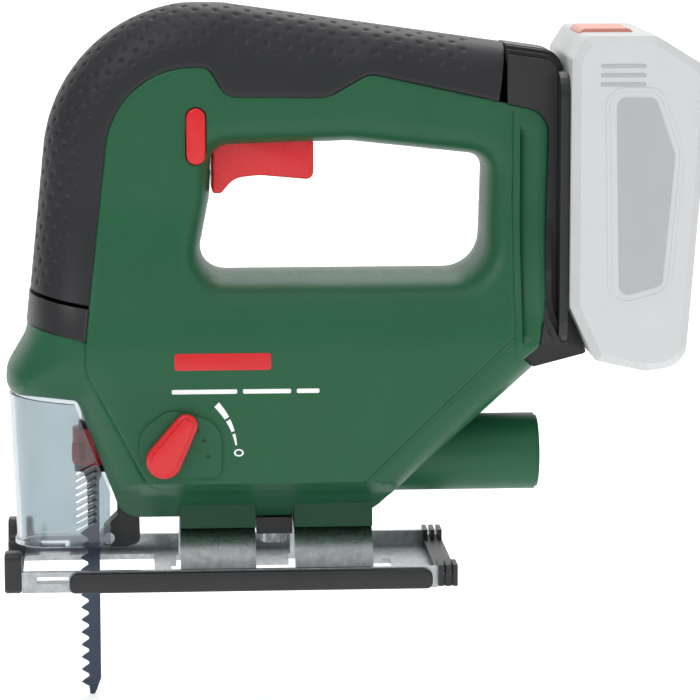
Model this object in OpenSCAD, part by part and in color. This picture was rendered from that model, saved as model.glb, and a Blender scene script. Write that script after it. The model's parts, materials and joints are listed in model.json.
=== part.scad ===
/* [Body] */
// Distance from the blade to the flat rear face that carries the battery
rear = 168; // [160:1:204]
// Height of the crown of the handle above the sole
crown = 206; // [200:1:248]
// Half width of the motor housing
body_half = 31; // [29:0.5:38]
// Half width of the handle
handle_half = 20; // [19:0.5:24]
// Thickness of the moulded housing wall
wall = 2.6; // [2.2:0.1:3.2]
// Thickness of the soft grip layer
grip_skin = 3; // [2.4:0.1:3.6]
// Radius of the side screws
screw_r = 1.75; // [1.4:0.05:2.1]

/* [Controls] */
// Half width of the trigger
trigger_half = 11; // [9:0.5:13]
// Travel of the trigger
trigger_travel = 6; // [4:0.5:6]
// Width of the lock-off button
lock_w = 6.8; // [5.6:0.2:8.2]
// Height of the lock-off button
lock_h = 20; // [16:0.5:24]
// Radius of the orbit lever at its pivot
lever_r = 6.3; // [5.2:0.1:7.6]
// Radius of the orbit lever at its tip
lever_tip_r = 4; // [3.3:0.1:4.8]
// Distance from the orbit lever's pivot to its tip circle
lever_reach = 14.8; // [12:0.2:16]

/* [Drive] */
// Crank radius, which is half of the stroke
crank_r = 9; // [7:0.5:9]
// Radius of the plunger rod
rod_r = 4; // [3.4:0.1:4.8]
// Number of teeth on the crank gear
gear_teeth = 40; // [36:4:40]
// Number of teeth on the motor pinion
pinion_teeth = 10; // [10:1:12]
// Tooth module of the gear pair
tooth_module = 1; // [0.9:0.05:1]
// Radius of the motor can
motor_r = 19; // [16:0.5:20]
// Length of the motor can
motor_len = 50; // [42:1:60]
// Running clearance round a shaft
running = 0.05; // [0.02:0.01:0.08]

/* [Blade] */
// Thickness of the saw blade
blade_t = 1.2; // [1:0.1:1.6]
// Length of the blade below the sole
blade_drop = 45; // [38:1:60]
// Pitch of the blade teeth
tooth_pitch = 4.6; // [3.8:0.1:5.6]
// Depth of the blade teeth
tooth_deep = 2.6; // [2:0.1:3.1]

/* [Foot] */
// Half width of the pressed steel foot
foot_half = 33; // [30:0.5:33]
// Length of the foot behind the blade
foot_rear = 122; // [112:1:134]
// Thickness of the foot's sheet steel
foot_t = 2; // [1.6:0.1:2.2]
// Outer radius of the bevel arches
arch_r = 20.5; // [18:0.1:20.5]
// Gap between the arches and their cradle
arch_gap = 0.3; // [0.2:0.05:0.4]

/* [Guard and dust port] */
// Radius of the clear guard at its top
guard_top_r = 15.5; // [14.5:0.1:16.5]
// Radius of the clear guard at its bottom
guard_low_r = 12.8; // [12.2:0.1:13.4]
// Thickness of the clear guard
guard_t = 1.8; // [1.4:0.1:2]
// Outer radius of the dust port
port_r = 13.8; // [12:0.1:15.5]
// Bore radius of the dust port
port_bore_r = 11.5; // [9.8:0.1:12]
// Height of the dust port's axis above the sole
port_z = 43; // [41:0.5:46]

/* [Battery] */
// Half width of the battery pack
pack_half = 36; // [34:0.5:43]
// Depth of the battery pack from front to back
pack_deep = 49; // [46:0.5:59]
// Wall of the battery pack
pack_wall = 2.4; // [2:0.1:3]
// Radius of a battery cell
cell_r = 9.1; // [8.8:0.1:9.2]
// Length of a battery cell
cell_len = 65; // [60:0.5:65]

/* [Hidden] */
$fn = 48;
arc_steps = 5;
eps = 0.01;
far = 400;

green = "#2f6b4c";
charcoal = "#2b2c2e";
signal_red = "#d8232a";
steel = "#b9bcbf";
dark_steel = "#4a4f57";
pack_grey = "#d9dadb";

// Section through the body: where the flat crown starts and how far the edges fall back
flat_half = 9;
core_step = 10;
core_back = 3.2;
edge_inset = 11.5;
edge_power = 1.5;
layer_y = [0, flat_half, 13, 16.5, handle_half, 24, 28, body_half];
keel_half = 8;
keel_z = 21.5;
keel_mid = [18, 31.5];
keel_top_z = 38;
keel_slope = (keel_mid[1] - keel_z + 1) / (keel_mid[0] - keel_half);
keel_flat = keel_half + 1 / keel_slope;
cradle_half = 14;
shoulder_z = 92;
waist = [24, 112];
handle_z = 130;

// Outlines seen from the side: each corner is x, z and its rounding radius
body_corners = [[10.5, keel_z, 10], [-5.8, 64.5, 1], [-31.2, 67.5, 6], [-30.2, 77, 6],
  [-23.2, 89, 14], [-10.3, crown + 8, 57], [rear, crown - 17.6, 8], [rear, 100, 16],
  [rear + 9.6, 80.5, 1.5], [rear - 10, 75.5, 2], [97.5, keel_z, 14]];
green_corners = [[-2.1, 89.1, 0], [8.7, crown - 21.7, 31], [41.8, crown - 21.7, 5],
  [47.8, crown - 32.2, 7], [83.8, crown - 32.7, 12], [98.5, crown - 24.3, 8],
  [rear - 5.8, crown - 38.4, 9], [rear - 7.5, 102, 30], [rear - 9.8, 86, 4],
  [rear - 15.5, 81, 1], [rear + 2, 64, 0], [rear + 2, -20, 0], [-60, -20, 0], [-60, 101, 0]];
opening_low = 109.8;
opening_top = crown - 49.2;
opening_corners = [[43.5, opening_top - 1.5, 6], [42.4, crown - 69, 8], [37, opening_low, 9.5],
  [rear - 29, opening_low, 12], [rear - 27.9, crown - 54.5, 6], [92, opening_top, 30]];
cuff_top = [[-60, 112], [-60, 60], [10, 60], [10, 99.3]];
grip_end_x = rear - 21;

// Side screws: x, z, and how far out the head sits
screw_spots = [[-19, 82, 9], [-10.5, 132, 9], [20, crown - 44, 12], [112, crown - 42, 12],
  [rear - 18, crown - 58, 12], [rear - 20, 92, 12], [82, 34, 10], [26, 31.5, 8]];
boss_r = 4.2;
head_r = 3.3;

// Drive train
gear_z = 95;
gear_r = gear_teeth * tooth_module / 2;
pinion_r = pinion_teeth * tooth_module / 2;
motor_z = gear_z - gear_r - pinion_r;
gear_x = 12.5;
gear_w = 5;
plate_x = 20;
plate_t = 4;
gear_shaft_r = 3;
motor_shaft_r = 2.4;
motor_x = 36;
yoke_x = 4.4;
yoke_t = 2.8;
pin_r = 2;
arm_low_z = [67, 73];
arm_high_z = [117.5, 123.5];
bush_r = 6;
rod_top = 134;
clamp_top = 56;
clamp_low = 38;
clamp_r = 6.6;

// Fork and roller
fork_pivot = [12.5, 27.5];
roller_r = 3.2;
blade_back = 2.2;
blade_front = -2.2;
roller_at = [blade_back + roller_r + 0.1, 13.8];
fork_half = 5;
roller_half = 3;

// Controls
lock_at = [37.3, crown - 46];
lever_at = [25.1, 47.1];
lever_angle = 58;
pad_t = 1.2;
lever_t = 5.2;
trigger_x = [44.3, 79.2];
trigger_low = crown - 67.2;
trigger_top = crown - 42;
switch_z = crown - 34.5;

// Foot
flange_top = 7.5;
rail_out = 3;
foot_front = -25.4;
bumper_x = -31.4;
arch_x = [[31, 58], [72, 100]];
arch_t = 1.8;

// Clear guard: centre of its round front, its lower edge and its height
guard_x = -14.5;
guard_z = 12;
guard_h = 60;

// Battery
pack_x = rear + 0.4;
pack_top = crown - 10.5;
pack_low = 77;
seam_x = pack_x + 29.6;
pack_corners = [[pack_x, crown - 18.5, 3], [pack_x + 5, pack_top, 3], [seam_x, pack_top, 6],
  [pack_x + pack_deep, pack_top - 12, 9], [pack_x + pack_deep - 8, pack_low + 2, 9],
  [pack_x + 27, pack_low, 6], [pack_x + 9, pack_low + 4, 2], [pack_x, 100, 3]];
rail_y = [20, 26];
rail_z = [108, crown - 44];
rail_clear = 0.3;
pack_chamfer = 3;
button_x = [pack_x + 5, pack_x + 24];
button_half = 13;
button_travel = 2.5;

function unit(v) = v / norm(v);
function turn_of(u, v) = sign(u[1] * v[0] - u[0] * v[1]);
function spin(s, w) = [s[0] * cos(w) - s[1] * sin(w), s[0] * sin(w) + s[1] * cos(w)];
// Points of one rounded corner b between its neighbours a and c
function corner(a, b, c) =
  let (p = [b[0], b[1]], u = unit([a[0], a[1]] - p), v = unit([c[0], c[1]] - p))
  let (angle = acos(u * v), centre = p + unit(u + v) * b[2] / sin(angle / 2))
  let (start = p + u * b[2] / tan(angle / 2) - centre, turn = (180 - angle) * turn_of(u, v))
  b[2] == 0 ? [p] : [for (i = [0:arc_steps]) centre + spin(start, turn * i / arc_steps)];
function rounded(cs) =
  [for (i = [0:len(cs) - 1]) each corner(cs[(i + len(cs) - 1) % len(cs)], cs[i], cs[(i + 1) % len(cs)])];

function keel_at(y) = keel_z - 1 + keel_slope * (y - keel_half);
function inset_at(y) =
  y <= flat_half ? 0 : edge_inset * pow((y - flat_half) / (body_half - flat_half), edge_power);

// A side outline given depth from y0 to y1 on the left of the middle plane
module side_prism(y0, y1) {
  rotate([90, 0, 0]) translate([0, 0, y0]) linear_extrude(y1 - y0) children();
}

// A cross-section in y and z given length along x
module cross_prism(x0, x1) {
  translate([x0, 0, 0]) rotate([90, 0, 90]) linear_extrude(x1 - x0) children();
}

module along_x(x0, x1, r, y = 0, z = 0) {
  translate([x0, y, z]) rotate([0, 90, 0]) cylinder(r = r, h = x1 - x0);
}

module along_y(y0, y1, r, x, z) {
  translate([x, y1, z]) rotate([90, 0, 0]) cylinder(r = r, h = y1 - y0);
}

module block(x0, x1, y0, y1, z0, z1) {
  translate([x0, y0, z0]) cube([x1 - x0, y1 - y0, z1 - z0]);
}

module body_outline(inset) {
  difference() {
    offset(delta = -inset) polygon(rounded(body_corners));
    offset(delta = inset) polygon(rounded(opening_corners));
  }
}

// Left half of the whole outer form, housing and grip together
module outer_half() {
  intersection() {
    for (i = [0:len(layer_y) - 2])
      side_prism(layer_y[i], layer_y[i + 1])
        body_outline(i == 0 ? 0 : inset_at((layer_y[i] + layer_y[i + 1]) / 2));
    cross_prism(-60, rear + 40)
      polygon([[1, 0], [-keel_half, keel_z - 1], [-keel_mid[0], keel_mid[1]], [-body_half - 1, keel_top_z],
        [-body_half - 1, shoulder_z], [-waist[0], waist[1]], [-handle_half, handle_z],
        [-handle_half, crown + 9], [1, crown + 9]]);
  }
}

module band_area() {
  difference() {
    polygon([[-60, -30], [rear + 40, -30], [rear + 40, crown + 20], [-60, crown + 20]]);
    polygon(rounded(green_corners));
  }
}

// The soft layer's region on the left half: outside the hard core
module skin_half() {
  intersection() {
    outer_half();
    difference() {
      side_prism(-eps, body_half + 1) band_area();
      hard_core(grip_skin, 0);
    }
  }
}

// The hard core under the soft layer, set back from the body's outline and stepped at its edges
module hard_core(back, thin) {
  side_prism(-1, core_step - thin) offset(delta = -back) polygon(rounded(body_corners));
  side_prism(-1, handle_half - back) offset(delta = -back - core_back) polygon(rounded(body_corners));
}

module core_space() {
  intersection() {
    union() {
      difference() {
        hard_core(grip_skin + wall, wall);
        side_prism(-2, body_half) offset(delta = wall + 0.6) polygon(rounded(opening_corners));
      }
      side_prism(handle_half - grip_skin - wall - eps, body_half - wall) difference() {
        offset(delta = -edge_inset - wall) polygon(rounded(body_corners));
        offset(delta = edge_inset + wall) polygon(rounded(opening_corners));
      }
    }
    cross_prism(-60, rear + 40)
      polygon([[1, keel_z + wall], [-keel_half + 1, keel_z + wall], [-keel_mid[0] + 1.5, keel_mid[1] + wall],
        [-body_half + wall, keel_top_z + wall], [-body_half + wall, shoulder_z - 1.5],
        [-waist[0] + wall, waist[1] - 1.5], [-handle_half + grip_skin + wall, handle_z],
        [-handle_half + grip_skin + wall, crown], [1, crown]]);
  }
}

module pill(w, h) {
  for (s = [-1, 1]) translate([0, s * (h - w) / 2]) circle(d = w);
  translate([-w / 2, -(h - w) / 2]) square([w, h - w]);
}

// Everything cut through a housing half
module shell_cuts() {
  for (s = screw_spots) along_y(-body_half - 1, 1, screw_r + running, s[0], s[1]);
  side_prism(-1, body_half) translate(lock_at) pill(lock_w + 0.6, lock_h + 0.6);
  block(trigger_x[0] - 0.4, trigger_x[1] + 0.4, -trigger_half - 0.4, 1, opening_top - 14, switch_z);
  along_x(94, rear, port_r + 0.05, 0, port_z);
  block(-12, 9, -11.5, 1, keel_z - 2, arm_low_z[0] - 1);
  block(-8.3, plate_x + 1, -9.3, 1, arm_low_z[0] - 1.1, arm_low_z[1] + 1);
  block(4.5, 20.5, -fork_half - 1, 1, keel_z - 8, fork_pivot[1] + 8);
  translate([65, 0, 10]) cylinder(r = 2.6, h = 30);
  block(rear - 12.5, rear + 1, -15, 1, 112, crown - 58);
}

module housing_half() {
  difference() {
    outer_half();
    skin_half();
    difference() {
      core_space();
      for (s = screw_spots) along_y(-body_half, 1, boss_r, s[0], s[1]);
    }
    shell_cuts();
  }
}

module housing_left() {
  color(green) difference() {
    housing_half();
    along_y(-body_half - 1, -10, 3 + running, lever_at[0], lever_at[1]);
  }
}

module housing_right() {
  color(green) difference() {
    mirror([0, 1, 0]) housing_half();
    for (s = screw_spots) along_y(s[2], body_half + 5, head_r + 0.3, s[0], s[1]);
  }
}

module grip_limit(x1) {
  intersection() {
    children();
    difference() {
      block(-60, x1, -far, far, -30, far);
      side_prism(-far, far) polygon(cuff_top);
    }
  }
}

module grip_holes() {
  for (s = screw_spots) along_y(-1, body_half, head_r + 0.3, s[0], s[1]);
}

module grip_left() {
  color(charcoal) grip_limit(grip_end_x) skin_half();
}

module grip_right() {
  color(charcoal) difference() {
    grip_limit(grip_end_x) mirror([0, 1, 0]) skin_half();
    grip_holes();
  }
}

module front_cuff() {
  color(charcoal) intersection() {
    union() {
      skin_half();
      mirror([0, 1, 0]) skin_half();
    }
    side_prism(-far, far) polygon(cuff_top);
  }
}

module rail_shape(clear, z0, z1) {
  for (s = [0, 1]) mirror([0, s, 0]) {
    block(rear - 1, rear + 4, rail_y[0] - clear, rail_y[0] + 3 + clear, z0, z1);
    block(rear + 2 - clear, rear + 4 + clear, rail_y[0] - clear, rail_y[1] + clear, z0, z1);
  }
}

module rear_frame() {
  color(charcoal) difference() {
    union() {
      intersection() {
        union() {
          skin_half();
          mirror([0, 1, 0]) skin_half();
        }
        block(grip_end_x + 0.3, far, -far, far, -30, far);
      }
      difference() {
        cross_prism(rear - 3, rear)
          polygon(rounded([[-30, 86, 8], [-30, crown - 24, 8], [30, crown - 24, 8], [30, 86, 8]]));
        hard_core(grip_skin, 0);
        mirror([0, 1, 0]) hard_core(grip_skin, 0);
      }
      rail_shape(0, rail_z[0], rail_z[1]);
    }
    block(rear - 20, rear + 1, -15, 15, 112, crown - 58);
    block(rear - 21.5, rear - 15, -8, 8, crown - 14.5, crown);
  }
}

module battery_contacts() {
  color(charcoal) union() {
    block(rear - 12, rear - 0.3, -13, 13, 114, 146);
    for (y = [-9, -3, 3, 9]) block(rear - 0.4, rear + 6.5, y - 0.5, y + 0.5, 122, 136);
  }
}

module housing_screws() {
  color(steel) for (s = screw_spots) difference() {
    union() {
      along_y(-11, s[2] + 0.5, screw_r, s[0], s[1]);
      along_y(s[2] + 0.02, s[2] + 2.6, head_r, s[0], s[1]);
    }
    translate([s[0], s[2] + 1.2, s[1]]) rotate([-90, 30, 0]) cylinder(r = 1.4, h = 3, $fn = 6);
  }
}

module dust_tube() {
  color(green) difference() {
    union() {
      along_x(98, rear - 8.6, port_r, 0, port_z);
      along_x(rear - 8.62, rear - 7.6, port_r - 0.8, 0, port_z);
    }
    along_x(97, rear, port_bore_r, 0, port_z);
  }
}

module guard_form(shrink, z0, back) {
  intersection() {
    union() {
      translate([guard_x, 0, guard_z])
        cylinder(r1 = guard_low_r - shrink, r2 = guard_top_r - shrink, h = guard_h);
      cross_prism(guard_x, guard_x + 24)
        polygon([[-guard_low_r + shrink, guard_z], [guard_low_r - shrink, guard_z],
          [guard_top_r - shrink, guard_z + guard_h], [-guard_top_r + shrink, guard_z + guard_h]]);
    }
    side_prism(-30, 30) polygon([[-60, z0], [6.1 + back, z0], [6.1 + back, 31],
      [-6.4 + back, 64 + back], [-60, 70.3 + back]]);
  }
}

module blade_guard() {
  color("#e8eef0", 0.4) difference() {
    union() {
      guard_form(0, guard_z, 0);
      intersection() {
        translate([guard_x, 0, guard_z]) cylinder(r = guard_low_r + 0.8, h = 1.8);
        block(-60, 5, -30, 30, 0, 30);
      }
    }
    guard_form(guard_t, guard_z - 1, 2);
    translate([guard_x, 0, guard_z - 1]) cylinder(r = guard_low_r - guard_t, h = 2);
    for (i = [0:8]) translate([-2.4, 0, 20 + i * 2.6]) rotate([0, -28, 0])
      block(-4.2, 4.2, -20, 20, -0.55, 0.55);
  }
}

module gear_case() {
  color("#9a9da0") difference() {
    union() {
      block(plate_x, plate_x + plate_t, -16, 16, 60, arm_high_z[1]);
      block(-8, plate_x + 1, -9, 9, arm_low_z[0], arm_low_z[1]);
      block(-8, plate_x + 1, -9, 9, arm_high_z[0], arm_high_z[1]);
      along_x(plate_x - 1.5, plate_x + plate_t + 4, 9, 0, motor_z);
    }
    for (z = [arm_low_z, arm_high_z]) translate([0, 0, z[0] - 1]) cylinder(r = bush_r, h = 8);
    along_x(plate_x - 2, plate_x + plate_t + 1, gear_shaft_r + running, 0, gear_z);
    along_x(plate_x - 2, plate_x + plate_t + 5, 6.5, 0, motor_z);
    along_x(gear_x - 1, gear_x + gear_w + 1.2, pinion_r + 2, 0, motor_z);
  }
}

module motor_can() {
  color(dark_steel) difference() {
    along_x(motor_x, motor_x + motor_len, motor_r, 0, motor_z);
    along_x(motor_x + 2, motor_x + motor_len - 3, motor_r - 2, 0, motor_z);
    along_x(motor_x - 1, motor_x + motor_len + 1, 6.5, 0, motor_z);
    for (a = [45:90:315]) translate([0, 0, motor_z]) rotate([a, 0, 0])
      along_x(motor_x - 1, motor_x + 3, 2.4, 12);
  }
}

module motor_bearings() {
  color(steel) for (x = [plate_x, motor_x + motor_len - 3]) difference() {
    along_x(x, x + 5, 6.5, 0, motor_z);
    along_x(x - 1, x + 6, motor_shaft_r + running, 0, motor_z);
  }
}

module plunger_bushes() {
  color("#b5883e") for (z = [arm_low_z, arm_high_z]) difference() {
    translate([0, 0, z[0] - 1]) cylinder(r = bush_r, h = 8);
    translate([0, 0, z[0] - 2]) cylinder(r = rod_r + running, h = 10);
  }
}

module motor_shaft() {
  color(steel) along_x(gear_x - 0.5, motor_x + motor_len + 5, motor_shaft_r, 0, motor_z);
}

module rotor_core() {
  color(dark_steel) difference() {
    along_x(motor_x + 8, motor_x + motor_len - 14, motor_r - 5, 0, motor_z);
    along_x(motor_x + 7, motor_x + motor_len, motor_shaft_r, 0, motor_z);
    for (i = [0:6]) translate([0, 0, motor_z]) rotate([i * 360 / 7, 0, 0])
      block(motor_x + 7, motor_x + motor_len, -1.1, 1.1, motor_r - 10, motor_r);
  }
}

module commutator() {
  color("#b5683a") difference() {
    along_x(motor_x + motor_len - 13, motor_x + motor_len - 5, 7, 0, motor_z);
    along_x(motor_x, motor_x + motor_len, motor_shaft_r, 0, motor_z);
  }
}

module motor_fan() {
  color("#333436") difference() {
    union() {
      along_x(29.5, 31, motor_r - 3, 0, motor_z);
      along_x(29.5, 34.5, 4.5, 0, motor_z);
      for (a = [0:40:320]) translate([0, 0, motor_z]) rotate([a, 0, 0])
        block(30.5, 34.5, -0.5, 0.5, 6, motor_r - 3.3);
    }
    along_x(28, 36, motor_shaft_r, 0, motor_z);
  }
}

// A spur gear's outline with straight-sided teeth
function gear_outline(n, r) = [for (i = [0:n - 1]) each
  [for (k = [[-0.34, -1.15], [-0.16, 0.6], [0.16, 0.6], [0.34, -1.15]])
    let (a = (i + k[0]) * 360 / n, q = r + k[1] * tooth_module) [q * cos(a), q * sin(a)]]];

module gear_blank(n, r, phase) {
  rotate([90, 0, 90]) rotate(phase) linear_extrude(gear_w) polygon(gear_outline(n, r));
}

module motor_pinion() {
  color(steel) difference() {
    translate([gear_x, 0, motor_z]) gear_blank(pinion_teeth, pinion_r, 90);
    along_x(0, 40, motor_shaft_r, 0, motor_z);
  }
}

module crank_gear() {
  color(steel) difference() {
    translate([gear_x, 0, gear_z]) gear_blank(gear_teeth, gear_r, -90 + 180 / gear_teeth);
    along_x(0, 40, gear_shaft_r, 0, gear_z);
    along_x(0, 40, pin_r, crank_r, gear_z);
  }
}

module crank_pin() {
  color(steel) along_x(yoke_x + yoke_t + 0.4, gear_x + gear_w, pin_r, crank_r, gear_z);
}

module crank_counterweight() {
  color(dark_steel) difference() {
    union() {
      along_x(gear_x - 2, gear_x, gear_shaft_r + 2.6, 0, gear_z);
      difference() {
        along_x(gear_x - 2, gear_x, gear_r - 5, 0, gear_z);
        block(0, 40, -2, 40, gear_z - 30, gear_z + 30);
      }
    }
    along_x(0, 40, gear_shaft_r, 0, gear_z);
  }
}

module gear_shaft() {
  color(steel) along_x(gear_x - 2, plate_x + plate_t + 2.5, gear_shaft_r, 0, gear_z);
}

module plunger_rod() {
  color(steel) translate([0, 0, clamp_top]) cylinder(r = rod_r, h = rod_top - clamp_top);
}

module plunger_yoke() {
  color(dark_steel) difference() {
    union() {
      block(yoke_x, yoke_x + yoke_t, -14, 14, gear_z - 6, gear_z + 6);
      block(-5.5, yoke_x + eps, -5.5, 5.5, gear_z - 6, gear_z + 6);
    }
    translate([0, 0, gear_z - 7]) cylinder(r = rod_r, h = 14);
    block(yoke_x - 0.2, yoke_x + yoke_t + 1, -11.5, 11.5, gear_z - pin_r - 0.2, gear_z + pin_r + 0.2);
  }
}

module blade_clamp() {
  color(dark_steel) difference() {
    union() {
      translate([0, 0, clamp_low]) cylinder(r = clamp_r - 1.6, h = clamp_top - clamp_low);
      translate([0, 0, clamp_low]) cylinder(r = clamp_r, h = 2.5);
    }
    block(blade_front - 1, blade_back + 1, -blade_t / 2, blade_t / 2, clamp_low - 1, clamp_top - 4);
  }
}

module clamp_collar() {
  color(signal_red) difference() {
    union() {
      translate([0, 0, clamp_low + 2.7]) cylinder(r = clamp_r + 0.6, h = clamp_top - clamp_low - 5);
      translate([0, 0, clamp_low + 5]) rotate([0, 0, -125]) block(0, clamp_r + 4, -1.6, 1.6, 0, 6);
    }
    translate([0, 0, clamp_low]) cylinder(r = clamp_r - 1.6 + running, h = 30);
  }
}

// Outline of the toothed blade, tang upwards
function blade_teeth() = [for (i = [0:12]) let (z = -blade_drop + 4.5 + i * tooth_pitch)
  each [[blade_front, z - 1.5], [blade_front - tooth_deep, z], [blade_front - tooth_deep * 0.7, z + 0.7],
    [blade_front + 0.2, z + tooth_pitch * 0.45]]];

module saw_blade() {
  color(dark_steel) side_prism(-blade_t / 2, blade_t / 2)
    polygon(concat([[blade_back + 0.9, clamp_top - 4.5], [blade_back + 0.9, 36], [blade_back, 34],
      [blade_back, -blade_drop + 6], [blade_back - 1.6, -blade_drop + 1.5], [blade_back - 2.4, -blade_drop],
      [blade_front + 0.4, -blade_drop], [blade_front + 0.2, -blade_drop + 2]],
      blade_teeth(), [[blade_front, 34], [blade_front - 0.9, 36], [blade_front - 0.9, clamp_top - 4.5]]));
}

module pendulum_fork() {
  color(charcoal) difference() {
    side_prism(-fork_half, fork_half)
      polygon(rounded([[roller_at[0] - 1.8, roller_at[1] - 3.4, 1.5],
        [roller_at[0] - 1.8, roller_at[1] + 3.4, 1.5], [8.6, 22, 1],
        [fork_pivot[0] - 4, fork_pivot[1] + 3.8, 2.5], [fork_pivot[0] + 3.8, fork_pivot[1] + 3.8, 2.5],
        [16.8, 12, 2.5], [12, roller_at[1] - 3.4, 1.5]]));
    side_prism(-roller_half - 0.3, roller_half + 0.3)
      translate(roller_at) square([2 * roller_r + 1.6, 2 * roller_r + 1.6], center = true);
    along_y(-10, 10, 1.2, roller_at[0], roller_at[1]);
    along_y(-10, 10, 2 + running, fork_pivot[0], fork_pivot[1]);
  }
}

module blade_roller() {
  color(steel) difference() {
    along_y(-roller_half, roller_half, roller_r, roller_at[0], roller_at[1]);
    along_y(-10, 10, 1.2 + running, roller_at[0], roller_at[1]);
    translate([roller_at[0], 0, roller_at[1]]) rotate([90, 0, 0]) rotate_extrude()
      polygon([[roller_r - 0.8, -0.75], [roller_r + 1, -0.75], [roller_r + 1, 0.75], [roller_r - 0.8, 0.75]]);
  }
}

module roller_pin() {
  color(steel) union() {
    along_y(-fork_half - 0.2, fork_half + 0.2, 1.2, roller_at[0], roller_at[1]);
    along_y(-fork_half - 1.2, -fork_half, 2.1, roller_at[0], roller_at[1]);
  }
}

module fork_axle() {
  color(steel) along_y(-fork_half - 1, fork_half + 1, 2, fork_pivot[0], fork_pivot[1]);
}

module orbit_pad() {
  color(green) difference() {
    side_prism(body_half, body_half + pad_t)
      polygon(rounded([[16.5, 40.5, 8], [16.5, 57, 8], [27, 65, 8], [45.4, 60, 9], [45.4, 40.5, 4]]));
    along_y(-far, 0, 3 + running, lever_at[0], lever_at[1]);
    for (a = [4, 26, 42])
      along_y(-far, -body_half - pad_t + 0.5, 0.8, lever_at[0] + 15.7 * cos(a), lever_at[1] + 15.7 * sin(a));
  }
}

module orbit_lever() {
  color(signal_red) translate([lever_at[0], -body_half - pad_t - 0.1, lever_at[1]])
    rotate([90, 0, 0]) rotate(lever_angle) union() {
      linear_extrude(lever_t - 1.4) hull() {
        circle(r = lever_r, $fn = 32);
        translate([lever_reach, 0]) circle(r = lever_tip_r, $fn = 32);
      }
      linear_extrude(lever_t) hull() {
        circle(r = lever_r - 1.4, $fn = 32);
        translate([lever_reach, 0]) circle(r = lever_tip_r - 1.4, $fn = 32);
      }
    }
}

module orbit_shaft() {
  color(steel) along_y(-body_half - pad_t - 0.1, -14, 3, lever_at[0], lever_at[1]);
}

module trigger() {
  color(signal_red) side_prism(-trigger_half, trigger_half)
    polygon(rounded([[trigger_x[0], trigger_top, 1], [trigger_x[1] - 3, trigger_top, 1],
      [trigger_x[1], opening_top, 1], [trigger_x[1], trigger_low + 4.6, 1.8], [60, trigger_low + 6.4, 20],
      [51, trigger_low + 5.4, 8], [46.4, trigger_low, 1.5], [trigger_x[0], trigger_low, 1]]));
}

module trigger_spring() {
  color(steel) translate([62, 0, trigger_top]) difference() {
    cylinder(r = 3.4, h = switch_z - trigger_top);
    translate([0, 0, -1]) cylinder(r = 2.4, h = 20);
  }
}

module switch_module() {
  color("#3a3b3d") difference() {
    block(46, 78, -12, 12, switch_z, switch_z + 17);
    block(50, 74, -13, 13, switch_z + 13, switch_z + 20);
  }
}

module lock_button() {
  color(signal_red) side_prism(-handle_half + 1, handle_half + 1.4)
    translate(lock_at) pill(lock_w, lock_h);
}

module control_board() {
  color("#1f5a3a") union() {
    block(98, rear - 24, -14, 14, 84, 85.6);
    for (x = [104, 116, 128]) block(x, x + 8, -6, 6, 85.5, 91);
    block(100, 106, -12, 12, 79, 84.1);
  }
}

module motor_leads() {
  color(signal_red) for (y = [-8, 8]) along_x(motor_x + motor_len, 100, 1, y, motor_z + 12);
}

module foot_cradle() {
  color("#8f9295") for (x = arch_x) difference() {
    cross_prism(x[0], x[1])
      polygon([[-cradle_half, 18.6], [-cradle_half, keel_at(cradle_half)], [-keel_flat, keel_z],
        [keel_flat, keel_z], [cradle_half, keel_at(cradle_half)], [cradle_half, 18.6], [0, 16]]);
    along_x(x[0] - 1, x[1] + 1, arch_r + arch_gap);
  }
}

module clamp_saddle() {
  color(charcoal) difference() {
    block(58.6, 71.4, -10, 10, 15.5, keel_z - 0.05);
    translate([65, 0, 0]) cylinder(r = 2.6, h = 40);
  }
}

module clamp_screw() {
  color(steel) difference() {
    union() {
      translate([65, 0, 12]) cylinder(r = 2.5, h = 16);
      translate([65, 0, 11]) cylinder(r = 4.6, h = 4.4);
    }
    translate([65, 0, 10]) cylinder(r = 2.3, h = 3.6, $fn = 6);
  }
}

module foot_plate() {
  color(steel) difference() {
    union() {
      block(foot_front, foot_rear, -foot_half, foot_half, 0, foot_t);
      for (s = [-1, 1]) block(foot_front, foot_rear, s * foot_half - (s > 0 ? foot_t : 0),
        s * foot_half + (s > 0 ? 0 : foot_t), 0, flange_top);
      for (x = arch_x) intersection() {
        along_x(x[0], x[1], arch_r);
        block(x[0], x[1], -40, 40, 0, 40);
      }
    }
    for (x = arch_x) along_x(x[0] - 1, x[1] + 1, arch_r - arch_t);
    block(foot_front - 1, 22, -21.5, 21.5, -1, 20);
    block(28, foot_rear - 14, -8, 8, -1, 10);
    for (s = [-1, 1]) block(-20, -9, s > 0 ? 20 : -50, s > 0 ? 50 : -20, 3.2, 5.6);
  }
}

module foot_rails() {
  color(charcoal) for (s = [0, 1]) mirror([0, s, 0]) side_prism(foot_half, foot_half + rail_out)
    polygon(rounded([[-8.6, 0, 2], [-8.6, 7, 3], [foot_rear - 2, 7, 3], [foot_rear - 2, 0, 2]]));
}

module front_bumper() {
  color(charcoal) cross_prism(bumper_x, foot_front)
    polygon([[-35, 0], [-35, 14.5], [-27, 14.5], [-25, 7.5], [-21.5, 7.5], [-21.5, 2], [21.5, 2],
      [21.5, 7.5], [25, 7.5], [27, 14.5], [35, 14.5], [35, 0]]);
}

module rear_clip() {
  color(charcoal) union() {
    for (s = [0, 1]) mirror([0, s, 0]) for (i = [0:2])
      block(foot_rear + i * 2.6, foot_rear + 1.6 + i * 2.6, -36, -26, 1, 8.6);
    block(foot_rear, foot_rear + 6.8, -35, 35, 1, 5);
  }
}

// The pack's outer form with a chamfer all round both sides
module pack_form() {
  hull() {
    side_prism(-pack_half + pack_chamfer, pack_half - pack_chamfer) polygon(rounded(pack_corners));
    side_prism(-pack_half, pack_half) offset(delta = -pack_chamfer) polygon(rounded(pack_corners));
  }
}

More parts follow.
